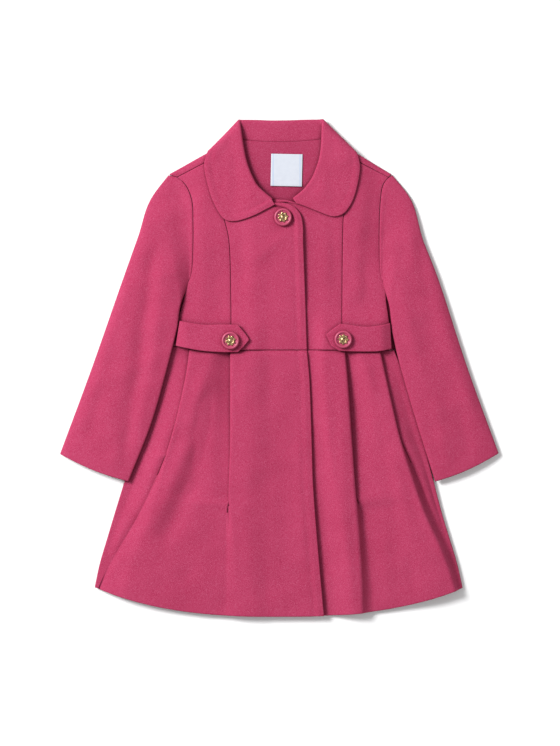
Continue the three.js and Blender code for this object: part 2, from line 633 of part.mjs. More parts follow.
const resin = finish('pink resin', 0xc2486f, 0.4);
const brass = finish('old brass', 0xb9a27c, 0.35, 1);
const tabTop = stackHeight + halfCloth + tabSeat + tabCloth;
const buttonPlaces = [
  { name: 'neck', across: 4.2, up: 172.5, seat: frontHeight + neckLift + layerStep + halfCloth },
  { name: 'right', across: -55.9, up: 31.2, seat: tabTop },
  { name: 'left', across: 73.1, up: 32.5, seat: tabTop },
];
for (const { name, across, up, seat } of buttonPlaces) {
  const base = seat + seamGap;
  add(`button_${name}`, button(), resin).position.set(across, up, base);
  add(`rosette_${name}`, rosetteShape(), brass).position.set(across, up, base + dish + seamGap);
}

export default coat;
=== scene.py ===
import bpy
import math
import numpy as np
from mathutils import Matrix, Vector


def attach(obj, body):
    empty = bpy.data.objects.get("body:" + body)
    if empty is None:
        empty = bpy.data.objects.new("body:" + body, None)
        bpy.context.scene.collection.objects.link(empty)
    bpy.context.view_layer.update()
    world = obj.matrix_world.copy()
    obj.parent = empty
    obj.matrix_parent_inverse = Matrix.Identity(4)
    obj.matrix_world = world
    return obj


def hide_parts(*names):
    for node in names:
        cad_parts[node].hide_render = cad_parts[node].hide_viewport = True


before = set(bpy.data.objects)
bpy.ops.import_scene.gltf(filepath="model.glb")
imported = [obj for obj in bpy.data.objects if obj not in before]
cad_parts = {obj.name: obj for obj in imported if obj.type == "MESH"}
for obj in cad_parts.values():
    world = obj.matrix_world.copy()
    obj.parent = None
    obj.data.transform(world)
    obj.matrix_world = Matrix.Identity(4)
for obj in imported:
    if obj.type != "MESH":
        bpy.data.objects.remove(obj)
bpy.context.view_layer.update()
random = np.random.default_rng(7)
mm = 0.001  # every size below is in millimetres

# Thickness of the cloth, then the heights of its layers, all at the middle of the wall
layers = {
    "cloth": 2.2, "back": 1.1, "front": 4.0, "step": 3.0, "collarStep": 2.8,
    "neckLift": 4.0, "backNeckLift": 2.5, "stack": 9.6,
}
# Where the cloth lifts towards the neck, up the coat and across it
lifts = {"back": ((195, 215), (96, 112)), "front": ((100, 165), (85, 118))}
# Where the waist seam and the hem run, and the gap that is left at a seam
body = {
    "waist": 20.5, "sideRise": 4.6, "riseSpan": (-88, -122), "hemCentre": -285.5, "hemRise": 33.0,
    "hemHalfWidth": 211.0, "hemBend": 2.6, "lapSpan": (26, 56), "seam": 0.15,
}
sewn = 0.7  # rounding of an edge that is sewn in
whole = 0  # stands for an edge that is rounded over its whole thickness


def ease(start, end, value):
    part = np.clip((np.asarray(value, float) - start) / (end - start), 0, 1)
    return part * part * (3 - 2 * part)


def mix(a, b, share):
    return a + (b - a) * share


# Shares of 0 to 1 down and across a grid
def shares(rows, columns):
    return np.linspace(0, 1, rows)[:, None], np.linspace(0, 1, columns)[None, :]


def pointsOf(x, y, z):
    return np.stack(np.broadcast_arrays(x, y, z), axis=-1)


# A soft hump round a centre
def bell(value, width, centre=0):
    return np.exp(-((value - centre) / width) ** 2)


# A cubic from a to b with a slope at each end
def cubic(a, b, slopeA, slopeB, t):
    t2, t3 = t * t, t * t * t
    return (a * (2 * t3 - 3 * t2 + 1) + b * (3 * t2 - 2 * t3)
            + slopeA * (t3 - 2 * t2 + t) + slopeB * (t3 - t2))


# Reads columns of a table between its rows, smoothly, by its first column
def readTable(names, rows):
    table = np.array(rows, float)
    keys = table[:, 0]
    slopes = np.empty_like(table)
    for i in range(len(rows)):
        a, b = max(0, i - 1), min(len(rows) - 1, i + 1)
        slopes[i] = (table[b] - table[a]) / (keys[b] - keys[a])

    def read(name, value):
        column = names.index(name)
        value = np.asarray(value, float)
        i = np.clip(np.searchsorted(keys, value, side="right") - 1, 0, len(rows) - 2)
        span = keys[i + 1] - keys[i]
        ends = slopes[i, column] * span, slopes[i + 1, column] * span
        return cubic(table[i, column], table[i + 1, column], *ends, (value - keys[i]) / span)

    return read


# A smooth line through points, read by its share of length
def smoothLine(pairs, sign=1, fine=40):
    p = np.array(pairs, float) * [sign, 1]
    p = np.vstack([2 * p[0] - p[1], p, 2 * p[-1] - p[-2]])
    out = []
    for i in range(1, len(p) - 2):
        gaps = np.sqrt(np.linalg.norm(np.diff(p[i - 1:i + 3], axis=0), axis=1))
        a, b, c = np.maximum(gaps, 1e-4)
        t = np.linspace(0, 1, fine, endpoint=False)[:, None]
        start = b * ((p[i] - p[i - 1]) / a - (p[i + 1] - p[i - 1]) / (a + b) + (p[i + 1] - p[i]) / b)
        end = b * ((p[i + 1] - p[i]) / b - (p[i + 2] - p[i]) / (b + c) + (p[i + 2] - p[i + 1]) / c)
        out.append(cubic(p[i], p[i + 1], start, end, t))
    points = np.vstack(out + [p[-2:-1]])
    length = np.append(0, np.cumsum(np.linalg.norm(np.diff(points, axis=0), axis=1)))

    def at(share):
        where = np.clip(share, 0, 1) * length[-1]
        return np.stack([np.interp(where, length, points[:, k]) for k in (0, 1)], axis=-1)

    return at


# Creases: soft ridges (or troughs, where the height is negative) from one point to another, in mm
def creaseField(creases):
    def field(x, y):
        total = np.zeros(np.broadcast(x, y).shape)
        for x0, y0, x1, y1, width, height in creases:
            ax, ay = x1 - x0, y1 - y0
            length = math.hypot(ax, ay)
            along = ((x - x0) * ax + (y - y0) * ay) / length ** 2
            across = ((x - x0) * ay - (y - y0) * ax) / length
            ends = ease(-0.12, 0.2, along) * (1 - ease(0.72, 1.15, along))
            bow = across - 0.02 * length * np.sin(math.pi * np.clip(along, 0, 1))
            total += height * bell(bow, width) * ends
        return total

    return field


# Low waves that keep a cloth from looking pressed
waveTable = [(random.uniform(28, 75), random.uniform(0, math.tau), random.uniform(0, math.tau))
             for _ in range(9)]


def unevenness(x, y, height=0.22):
    total = sum(np.sin((x * math.cos(turn) + y * math.sin(turn)) * math.tau / length + start)
                for length, turn, start in waveTable)
    return height * total / 3


def neckLift(kind, x, y):
    up, across = lifts[kind]
    return ease(*up, y) * (1 - ease(*across, np.abs(x)))


def backAt(x, y):
    return layers["back"] + layers["backNeckLift"] * neckLift("back", x, y)


def frontAt(x, y):
    return layers["front"] + layers["neckLift"] * neckLift("front", x, y)


def bodiceAt(side, x, y):
    across = side["sign"] * x
    over = layers["step"] * (1 - ease(*body["lapSpan"], across)) if side["name"] == "right" else 0
    flat = frontAt(x, y) + over
    start, full, fullEnd, end = side["stack"]
    raised = ease(start, full, across) * (1 - ease(fullEnd, end, across))
    atWaist = 1 - ease(body["waist"] + 6, body["waist"] + 56, y)
    return flat + np.maximum(0, layers["stack"] - flat) * raised * atWaist


# The ridge and the groove beside a turned edge: height, width and distance of each. The sleeve's
# are beside its seam, in shares of its length.
turnedEdges = {
    "skirt": ((0.55, 2.2, 6.2), (-0.35, 2.6, 10.5)),
    "bodice": ((0.5, 2.2, 6.2), (-0.35, 2.6, 10.5)),
    "collar": ((0.5, 2.0, 5.5), (-0.3, 2.4, 9.5)),
    "sleeve": ((0.5, 0.014, 0.012), (-0.35, 0.008, 0)),
}


def turnedEdge(kind, far):
    return sum(height * bell(far, width, place) for height, width, place in turnedEdges[kind])


# The waist seam rises towards the side of the right half
def waistAt(x):
    return body["waist"] + body["sideRise"] * ease(*body["riseSpan"], x)


def hemAt(x):
    return body["hemCentre"] + body["hemRise"] * (np.abs(x) / body["hemHalfWidth"]) ** body["hemBend"]


# Adds lines beside an edge of a grid, so that the wall can round off there
def withRim(grid, axis, end, radius):
    g = np.moveaxis(grid, axis, 0)
    g = g if end == 0 else g[::-1]
    step = np.linalg.norm(g[1] - g[0], axis=-1, keepdims=True)
    parts = [np.minimum(0.8, radius * d / np.maximum(step, 1e-6)) for d in (0.07, 0.28, 0.6, 1.0)]
    extra = np.stack([mix(g[0], g[1], part) for part in parts])
    g = np.concatenate([g[:1], extra, g[1:]])
    g = g if end == 0 else g[::-1]
    return np.moveaxis(g, 0, axis)


# Distance of each grid point from one edge, along the grid
def edgeDistance(grid, axis, end):
    g = np.moveaxis(grid, axis, 0)
    g = g if end == 0 else g[::-1]
    gaps = np.linalg.norm(np.diff(g, axis=0), axis=-1)
    far = np.cumsum(np.concatenate([gaps[:1] * 0, gaps]), axis=0)
    far = far if end == 0 else far[::-1]
    return np.moveaxis(far, 0, axis)


def gridNormals(grid, ring):
    if ring:
        wide = np.concatenate([grid[:, -1:], grid, grid[:, :1]], axis=1)
        across = wide[:, 2:] - wide[:, :-2]
    else:
        across = np.gradient(grid, axis=1)
    along = np.gradient(grid, axis=0)
    normal = np.cross(across, along)
    return normal / np.maximum(np.linalg.norm(normal, axis=-1, keepdims=True), 1e-9)


gridEdges = [(0, 0), (0, -1), (1, 0), (1, -1)]  # axis and end of each


# A closed shell of cloth round a grid of middle points (rows, columns, xyz in mm). The rims are the
# rounding of the four edges: first row, last row, first column, last column. The columns of a ring
# join up, and it has two edges only.
def clothShell(name, grid, thickness, rims, material, slot, node, ring=False, flip=False):
    edges = gridEdges[:2] if ring else gridEdges
    rims = [r if r else thickness / 2 for r in rims]
    for (axis, end), radius in zip(edges, rims):
        grid = withRim(grid, axis, end, radius)
    half = np.full(grid.shape[:2], thickness / 2)
    for (axis, end), radius in zip(edges, rims):
        near = np.clip(edgeDistance(grid, axis, end) / radius, 0, 1)
        half = half * np.sqrt(np.clip(1 - (1 - near) ** 2, 0, 1))
    normal = gridNormals(grid, ring)
    if flip:
        normal = -normal
    rows, columns = grid.shape[:2]
    top = grid + normal * half[..., None]
    low = grid - normal * half[..., None]
    topIndex = np.arange(rows * columns).reshape(rows, columns)
    lowIndex = topIndex + rows * columns
    lowIndex[0], lowIndex[-1] = topIndex[0], topIndex[-1]
    if not ring:
        lowIndex[:, 0], lowIndex[:, -1] = topIndex[:, 0], topIndex[:, -1]
    faces = []
    for index, turned in ((topIndex, flip), (lowIndex, not flip)):
        after = np.roll(index, -1, axis=1) if ring else index[:, 1:]
        here = index if ring else index[:, :-1]
        quad = [here[:-1], after[:-1], after[1:], here[1:]]
        if turned:
            quad = quad[::-1]
        faces.append(np.stack(quad, axis=-1).reshape(-1, 4))
    points = np.concatenate([top.reshape(-1, 3), low.reshape(-1, 3)])
    return makePiece(name, points, np.concatenate(faces), material, slot, node)


def addObject(name, data):
    made = bpy.data.objects.new(name, data)
    bpy.context.scene.collection.objects.link(made)
    return made


def makePiece(name, points, faces, material, slot, node):
    used, index = np.unique(np.concatenate(faces), return_inverse=True)
    starts = np.cumsum([0] + [len(f) for f in faces])
    corners = [index[a:b].tolist() for a, b in zip(starts, starts[1:])]
    mesh = bpy.data.meshes.new(name)
    mesh.from_pydata((np.asarray(points)[used] * mm).tolist(), [], corners)
    mesh.validate()
    mesh.polygons.foreach_set("use_smooth", [True] * len(mesh.polygons))
    mesh.materials.append(material)
    piece = addObject(name, mesh)
    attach(piece, "root")
    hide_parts(node)
    return piece


def declareSheet(cut):
    width, length, area = cut
    width * mm
    length * mm
    area * mm * mm


print("shader helpers")


# A socket of a material's nodes, which takes arithmetic
class Value:
    def __init__(self, shader, socket):
        self.shader, self.socket = shader, socket

    def maths(self, operation, *others):
        sockets = dict(enumerate((self,) + others))
        return self.shader.node("ShaderNodeMath", sockets, operation=operation)

    def __add__(self, other):
        return self.maths("ADD", other)

    def __sub__(self, other):
        return self.maths("SUBTRACT", other)

    def __mul__(self, other):
        return self.maths("MULTIPLY", other)


class Shader:
    def __init__(self, name, **constants):
        self.material = bpy.data.materials.new(name)
        self.material.use_nodes = True
        self.tree = self.material.node_tree
        self.surface = self.tree.nodes["Principled BSDF"]
        for key, value in constants.items():
            self.surface.inputs[key.replace("_", " ")].default_value = value
        self.place = self.node("ShaderNodeTexCoord", {}, "Object")

    # Adds a node of a kind, with its settings first and then its sockets' values or links
    def node(self, kind, sockets, output=0, **settings):
        made = self.tree.nodes.new(kind)
        for key, value in settings.items():
            setattr(made, key, value)
        for key, value in sockets.items():
            if isinstance(value, Value):
                self.tree.links.new(value.socket, made.inputs[key])
            else:
                made.inputs[key].default_value = value
        return Value(self, made.outputs[output])

    def noise(self, scale, detail=2.0, place=None, rough=0.5):
        sockets = {"Vector": place or self.place, "Scale": scale, "Detail": detail, "Roughness": rough}
        return self.node("ShaderNodeTexNoise", sockets)

    def ramp(self, value, low, high, fromLow=0.0, fromHigh=1.0):
        sockets = {0: value, 1: fromLow, 2: fromHigh, 3: low, 4: high}
        return self.node("ShaderNodeMapRange", sockets)

    def blend(self, share, first, second):
        sockets = {0: share, 6: first, 7: second}
        return self.node("ShaderNodeMix", sockets, 2, data_type="RGBA")

    def stretched(self, x, y, z, turn):
        sockets = {"Vector": self.place, "Scale": (x, y, z), "Rotation": (0, 0, turn)}
        return self.node("ShaderNodeMapping", sockets)

    def feed(self, name, value):
        self.tree.links.new(value.socket, self.surface.inputs[name])

    def bump(self, height, distance, strength):
        sockets = {"Height": height, "Distance": distance, "Strength": strength}
        self.feed("Normal", self.node("ShaderNodeBump", sockets))


# A screen colour of 0 to 255 as linear light
def linear(*colour):
    parts = [c / 255 for c in colour]
    return (*(c / 12.92 if c <= 0.04045 else ((c + 0.055) / 1.055) ** 2.4 for c in parts), 1.0)


# Melton: a felted face with a faint twill under it, heathered by darker and paler fibres, with painted shade
# darkening its crevices
wool = {
    "base": linear(172, 57, 92), "dark": linear(134, 15, 52), "pale": linear(198, 102, 134),
    "gap": linear(70, 0, 16), "reach": 0.014,  # painted shade: the deep red that crevices are darkened towards, and the reach of the occlusion that finds them
    "fibre": 1500.0, "nap": 2100.0, "blotch": 30.0, "twill": 620.0,
}


def woolMaterial(name, shade=1.0):
    shader = Shader(name, Roughness=0.95, Sheen_Weight=0.02, Sheen_Roughness=0.5,
                    Sheen_Tint=(1.0, 0.72, 0.8, 1.0), Specular_IOR_Level=0.06)
    fibre = shader.noise(wool["fibre"], 4.0, rough=0.65)
    strands = shader.noise(wool["nap"], 3.0, shader.stretched(0.5, 1.0, 1.0, 0.1), 0.6)
    blotch = shader.noise(wool["blotch"], 3.0)
    twill = shader.node("ShaderNodeTexWave", {
        "Vector": shader.place, "Scale": wool["twill"], "Distortion": 2.5, "Detail": 2.0,
        "Detail Scale": 1.5,
    }, "Fac", bands_direction="DIAGONAL")
    tones = [tuple(c * shade for c in wool[key][:3]) + (1.0,) for key in ("base", "dark", "pale")]
    darker = shader.ramp(fibre, 0.0, 0.9, 0.52, 0.3)
    paler = shader.ramp(strands, 0.0, 0.8, 0.5, 0.72)
    base = shader.blend(shader.ramp(blotch, 0.0, 0.18, 0.35, 0.7), tones[0], tones[1])
    base = shader.blend(darker, base, tones[1])
    base = shader.blend(paler, base, tones[2])
    # Painted shade: where other cloth is near, the colour is blended towards a deep red, darkening crevices,
    # seams and the cloth beside steps
    occlusion = shader.node("ShaderNodeAmbientOcclusion", {"Distance": wool["reach"]}, 1, samples=8)
    base = shader.blend(shader.ramp(occlusion, 0.85, 0.0, 0.15, 0.92), base, wool["gap"])
    shader.feed("Base Color", base)
    shader.feed("Roughness", shader.ramp(strands, 0.86, 1.0, 0.3, 0.7))
    shader.bump(fibre * 0.6 + strands * 0.7 + twill * 0.35, 0.0002, 0.5)
    return shader.material


woolFace = woolMaterial("pink wool melton")
# Painted shade: a darker copy of the same wool, for the inside of the back and the neck facing
woolShadedInside = woolMaterial("pink wool shaded inside", 0.88)


# A piece of the coat's own cloth, named after its node
def woolShell(node, grid, rims, material=woolFace, thickness=layers["cloth"], **more):
    return clothShell(node + "_cloth", grid, thickness, rims, material, "pink_wool", node, **more)


# The two halves of the coat, right and left as the wearer has them; distances are from the middle
skirtColumns = ["level", "side", "second", "first", "edge", "ridge"]
right = {
    "name": "right", "sign": -1, "stack": (10, 31, 104, 126),
    "skirt": [
        (0, 129.5, 102, 55.6, -31.8, 9.6), (0.12, 140.5, 107.3, 55.6, -35, 10.4),
        (0.35, 161, 123.5, 55.7, -37.4, 11), (0.5, 174.5, 140, 57.3, -38.8, 11.6),
        (0.65, 187.2, 160, 58.5, -42, 12), (0.8, 199, 183, 59.5, -45.8, 12),
        (0.9, 206.5, 197, 60.5, -48.6, 11.4), (1, 212, 208, 61.5, -51.3, 10.6),
    ],
    "centre": (8, 12, 31.6, 7.0), "cut": (300, 312, 84000),
    "sideSeam": [(129.5, 20.5), (123, 40), (115.4, 60), (110.6, 76), (107, 95.3)],
    "armhole": [(107, 95.3), (103.2, 102), (100.3, 116), (99.2, 138), (99, 165), (100.5, 193), (107.6, 210),
                (117.5, 219)],
    "princess": [(55.6, 20.5), (55.4, 50), (55.6, 78), (57.9, 147), (62.5, 168), (70, 195), (80, 237.8)],
    "freeEdge": [(-31.8, 20.5), (-30, 78), (-27.5, 147), (-27.2, 163), (-24, 176.5), (-15.2, 185.8),
                 (-2, 189.6)],
    "shoulder": {"neck": (56, 260), "tip": (126, 221.6), "neckSeam": (56, 250), "tipSeam": (117.5, 219)},
}
left = {
    "name": "left", "sign": 1, "stack": (36, 52, 114.5, 131),
    "skirt": [
        (0, 132, 114.7, 74.5, -27, 9.6), (0.12, 146, 122.6, 77.8, -24, 11.6),
        (0.35, 164.5, 138, 82.5, -21, 14.8), (0.5, 175.4, 151.5, 85.8, -20, 15.6),
        (0.65, 185.6, 166, 89.6, -17, 15.6), (0.8, 197.3, 184, 92.6, -13, 15.2),
        (0.9, 204.8, 194, 94, -10, 14.4), (1, 210.5, 202, 94.5, -8, 13.2),
    ],
    "centre": (36, 56, 53, 4.0), "cut": (275, 312, 74000),
    "sideSeam": [(129.5, 20.5), (127.6, 40), (125.2, 60), (123, 76), (121.4, 95.3)],
    "armhole": [(121.4, 95.3), (118, 102), (115.7, 116), (115, 138), (114.9, 162), (116.2, 192),
                (119.2, 210), (125.5, 219)],
    "princess": [(74.5, 20.5), (72, 50), (72, 78), (72.6, 147), (73.4, 172), (77, 200), (84, 239.4)],
    "freeEdge": [(-27, 20.5), (-25, 78), (-24, 147), (-22, 172), (-12, 190), (0, 193.4)],
    "shoulder": {"neck": (61, 261.5), "tip": (128.5, 221.4), "neckSeam": (61, 251), "tipSeam": (125.5, 219)},
}
sides = (right, left)
for half in sides:
    half["skirtAt"] = readTable(skirtColumns, half["skirt"])

# Front skirts: knife pleats that are folded flat at the waist and open to soft slopes at the hem.
# The overlap of a fold turns negative where it opens, and is then the width of its slope.
pleats = {
    "radius": 1.6, "turn": 7, "rows": 110,
    "rightFirst": [
        (0, 22), (0.18, 18), (0.35, 11), (0.56, 4), (0.58, 0), (0.6, -3), (0.72, -8), (0.85, -14), (1, -26),
    ],
    "rightSecond": [
        (0, 22), (0.1, 17), (0.2, 11), (0.4, 4), (0.42, 0), (0.44, -3), (0.55, -9), (0.75, -20), (1, -32),
    ],
    "leftFirst": [(0, 20), (0.15, 14), (0.3, 8), (0.5, 2.5), (0.56, 0), (0.61, -5), (0.8, -11), (1, -16)],
    "leftSecond": [(0, 20), (0.12, 14), (0.24, 6), (0.34, 0), (0.42, -4), (0.55, -7), (0.75, -9), (1, -7)],
    "steps": {"right": 2.4, "left": 8.0},  # height of the first pleat's slope where it is open
    "opens": {"right": (0.2, 0.46), "left": (0.1, 0.4)},  # levels over which it gets there
    "shelves": {"right": 3.6, "left": 2.0}, "swell": 1.8,  # rise of the cloth beside the second pleat
    "fades": {"right": 0.92, "left": 0.4}, "fadeWidth": 4,  # flatter where a pleat starts to open
    "counts": {"middle": 30, "centre": 36, "outside": 20}, "lapRise": 2.6,
}
for half in sides:
    for fold in ("First", "Second"):
        half["overlap" + fold] = readTable(["level", "overlap"], pleats[half["name"] + fold])
skirtCreases = {
    "right": [
        (-84, -30, -100, -140, 10, -2.2), (-98, -126, -134, -206, 12, -2.9), (-70, 10, -74, -170, 8, 0.7),
        (-86, -5, -100, -86, 9, 1.6), (-99, -82, -131, -150, 10, 2.2), (-130, -148, -152, -190, 10, 1.8),
        (-20, -20, -24, -230, 26, 0.9), (8, -60, 10, -270, 16, -0.8), (-122, -60, -156, -164, 8, 1.6),
        (-150, -150, -194, -216, 9, 2.0), (-36, 8, -40, -60, 6, 0.6), (28, -40, 32, -240, 7, 0.6),
        (-175, -222, -188, -250, 8, -1.0), (-100, -235, -60, -262, 14, 0.8),
    ],
    "left": [
        (60, 4, 64, -170, 8, -0.6), (74, -60, 84, -262, 7, 0.9), (122, -60, 140, -200, 10, -0.9),
        (128, -90, 152, -186, 9, 1.2), (100, 10, 112, -90, 7, 0.8), (142, -96, 163, -157, 6, 0.9),
        (160, -150, 196, -220, 7, 1.5), (44, 8, 48, -90, 6, 0.5), (120, -190, 128, -264, 10, 1.2),
        (150, -215, 156, -262, 8, -0.9),
    ],
}


# One row of a front skirt, from its side seam to its front edge: places and heights
def skirtSection(side, level):
    outer, second, first, edge, ridge = (side["skirtAt"](n, level) for n in skirtColumns[1:])
    low = layers["front"]
    name = side["name"]
    turns = np.linspace(0, 1, pleats["turn"])

    def pleat(place, overlap, low):
        if name == "right":
            place = place + min(0, overlap)
        folded = ease(0, 6, overlap)
        radius = pleats["radius"] * ease(2, 10, overlap)
        points = []
        for part in (0, 1):  # the inner turn, then the outer one
            for turn in turns:
                slope = (part * len(turns) + turn * (len(turns) - 1)) / (2 * len(turns) - 1)
                bulge = radius * (math.sin(math.pi * turn) - 1) * (-1 if part == 0 else 1)
                reach = overlap * mix(1 - slope, 1 - part, folded)
                share = (part + (1 - math.cos(math.pi * turn)) / 2) / 2
                bent = slope ** 2.2 if name == "left" else 1 - (1 - slope) ** 1.8
                points.append((place - reach + bulge, mix(low, ridge, mix(bent, share, folded))))
        return points, place - radius, place - overlap + radius, place

    def panel(start, end, count, heightAt):
        across = np.linspace(start, end, count + 2)[1:-1]
        return [(a, heightAt(a)) for a in across]

    laps = [side["overlap" + fold]("overlap", level) for fold in ("First", "Second")]
    opened = ease(*pleats["opens"][name], level)
    foot = mix(low, max(low, ridge - pleats["steps"][name]), opened)
    fades = [pleats["fades"][name] * bell(lap, pleats["fadeWidth"]) for lap in laps]
    foot = mix(foot, ridge, fades[0])
    firstFold, firstEdge, firstFoot, first = pleat(first, laps[0], foot)
    shelf = pleats["shelves"][name] * ease(0.06, 0.25, level) * (1 - ease(0.5, 0.8, level))
    shelf = mix(shelf, ridge - low, fades[1])
    secondFold, secondEdge, secondFoot, second = pleat(second, laps[1], low + shelf)
    start, startHem, full, height = side["centre"]
    if name == "right":
        height = height + pleats["lapRise"] * ease(0.05, 0.8, level)
    dropFrom = min(first - max(laps[0], 0) - 2, mix(full, first - 8, ease(0, 1, level)))
    dropTo = mix(start, startHem, ease(0, 1, level))
    riseFrom, riseTo = max(first, firstFoot) + 2.5, second - max(laps[1], 0) - 2
    beside = min(secondFoot, outer - 0.5)
    swell = pleats["swell"] * ease(0.03, 0.12, level) * (1 - ease(0.55, 0.8, level))

    def middleAt(a):
        return mix(foot, ridge, ease(riseFrom, riseTo, a))

    def centreAt(a):
        return mix(height, ridge, ease(dropTo, dropFrom, a))

    def outsideAt(a):
        share = (outer - a) / (outer - beside)
        wave = swell * math.sin(math.pi * min(1, max(0, (share - 0.3) / 0.7)))
        return low + shelf * ease(0.35, 1, share) + wave - 0.5 * (1 - ease(0, 9, outer - a))

    counts = pleats["counts"]
    outside = panel(outer, beside, counts["outside"], outsideAt)
    middle = panel(secondEdge, firstFoot, counts["middle"], middleAt)
    centre = panel(firstEdge, edge, counts["centre"], centreAt)
    return [(outer, low - 0.55)] + outside + secondFold + middle + firstFold + centre + [(edge, height)]


def skirtFront(side):
    field = creaseField(skirtCreases[side["name"]])
    levels = np.linspace(0, 1, pleats["rows"])
    section = np.array([skirtSection(side, level) for level in levels])
    x = side["sign"] * section[..., 0]
    top = waistAt(x) - body["seam"]
    y = mix(top, hemAt(x), levels[:, None])
    z = section[..., 1]
    fromEdge = np.abs(section[..., 0] - section[:, -1:, 0])
    seam = 1 - 0.5 * bell(top - y, 3.0)  # the waist seam draws the cloth down a little
    free = ease(0, 14, np.abs(section[..., 0] - section[:, :1, 0])) * ease(2, 26, top - y)
    settle = np.maximum(0, z - layers["front"])
    lift = (field(x, y) + unevenness(x, y)) * free * ease(0, 12, fromEdge)
    deepest = -0.15 - 0.4 * settle * ease(0.3, 0.5, levels[:, None])
    z = layers["front"] + settle * seam + np.maximum(lift, deepest)
    if side["name"] == "right":
        z = z + turnedEdge("skirt", fromEdge)
    grid = pointsOf(x, y, z)
    piece = woolShell(f"skirt_front_{side['name']}", grid, (sewn, whole, whole, whole),
                      flip=side["sign"] < 0)
    declareSheet(side["cut"])


print("front skirts")
for half in sides:
    skirtFront(half)

print("backs and bodice")
# Both backs lie flat, and the shoulders roll over the bodice's to the seams in front
backPieces = {
    "skirtCut": (430, 310, 104000), "skirtGrid": (76, 104), "hemInset": 1.5,
    "bodiceCut": (262, 246, 52000), "bodiceGrid": (70, 84),
}
shoulders = {
    "inset": 2.6, "underarm": 2.2, "underSleeve": 3.5, "seam": 0.3, "rows": 40, "bend": 9, "dip": 0.45,
    "tongue": (9.0, 2.5),  # depths between which the roll lies flat under the front
}


def skirtBack():
    levels, across = shares(*backPieces["skirtGrid"])
    wider = shoulders["underSleeve"] * (1 - ease(0.1, 0.5, levels))  # reaches under the sleeves
    x = mix(-right["skirtAt"]("side", levels) - wider, left["skirtAt"]("side", levels) + wider, across)
    y = mix(waistAt(x) - body["seam"], hemAt(x) + backPieces["hemInset"], levels)
    grid = pointsOf(x, y, layers["back"])
    piece = woolShell("skirt_back", grid, (sewn, whole, whole, whole), flip=True)
    declareSheet(backPieces["skirtCut"])


def ruledPanel(outer, inner, rows, columns):
    share, across = shares(rows, columns)
    place = mix(outer(share), inner(share), across[..., None])
    x, y = place[..., 0], place[..., 1]
    lowest = waistAt(x) + body["seam"]
    return x, y + (lowest - body["waist"]) * (1 - ease(body["waist"], body["waist"] + 40, y))


def moved(pairs, across, up=0.0):
    return [(x + across, y + up) for x, y in pairs]


bodice = {
    "frontSeam": 0.25, "sideCut": (80, 222, 12500), "centreCut": (116, 232, 21000),
    "sideGrid": (74, 26), "centreGrid": (96, 46),
    "dip": 0.45, "dipWidth": 2.6, "waistDip": 0.35, "waistWidth": 3.0,  # where it is sewn in
    "lapLift": 1.4, "lapWidth": 11,  # how the lap stands off the front below it
    "rightCreases": [
        (-92, 70, -84, 150, 9, 0.8), (-70, 48, -64, 120, 8, -0.6), (-80, 150, -88, 205, 9, 0.7),
        (-30, 60, -22, 150, 14, 0.8), (10, 60, 6, 150, 12, 0.6), (-12, 44, 20, 30, 5, 0.5),
        (-46, 78, -40, 160, 6, -0.5), (16, 160, -30, 120, 6, 0.5),
    ],
    "leftCreases": [
        (88, 80, 92, 160, 9, 0.9), (100, 70, 96, 130, 6, -0.6), (50, 60, 54, 150, 10, 0.8),
        (62, 100, 60, 170, 6, -0.5), (92, 150, 98, 205, 8, 0.7), (40, 50, 62, 66, 6, 0.5),
    ],
}


def bodicePanel(kind, side, outer, inner, rims):
    x, y = ruledPanel(outer, inner, *bodice[kind + "Grid"])
    field = creaseField(bodice[side["name"] + "Creases"])
    grid = pointsOf(x, y, bodiceAt(side, x, y))
    far = [edgeDistance(grid, *edge) for edge in gridEdges]
    calm = ease(0, 10, far[0]) * ease(0, 8, far[1]) * ease(0, 6, far[2]) * ease(0, 8, far[3])
    underTab = ease(50, 66, y)
    z = grid[..., 2] + np.maximum(field(x, y) + unevenness(x, y), -0.45) * calm * mix(0.25, 1, underTab)
    z = z - bodice["dip"] * bell(far[2], bodice["dipWidth"])
    z = z - bodice["waistDip"] * bell(far[0], bodice["waistWidth"])
    if kind == "centre":
        z = z + turnedEdge("bodice", far[3]) * ease(24, 34, y) * (1 + 2.2 * ease(150, 178, y))
        if side["name"] == "right":
            lap = bodice["lapLift"] * bell(far[3], bodice["lapWidth"])
            z = z + lap * ease(60, 110, y) * ease(186, 168, y)
    else:
        z = z - bodice["dip"] * bell(far[3], bodice["dipWidth"])
    grid[..., 2] = z
    piece = woolShell(f"{kind}_front_{side['name']}", grid, rims, flip=side["sign"] > 0)
    declareSheet(bodice[kind + "Cut"])


skirtBack()
for half in sides:
    outerSeam = smoothLine(moved(half["sideSeam"] + half["armhole"][1:], -bodice["frontSeam"]), half["sign"])
    innerSeam = smoothLine(moved(half["princess"], body["seam"]), half["sign"])
    bodicePanel("side", half, outerSeam, innerSeam, (sewn, sewn, sewn, sewn))

backNeckline = [(-53, 260.6), (-30, 258.8), (-10, 257.2), (10, 257.2), (32, 259), (58, 262)]


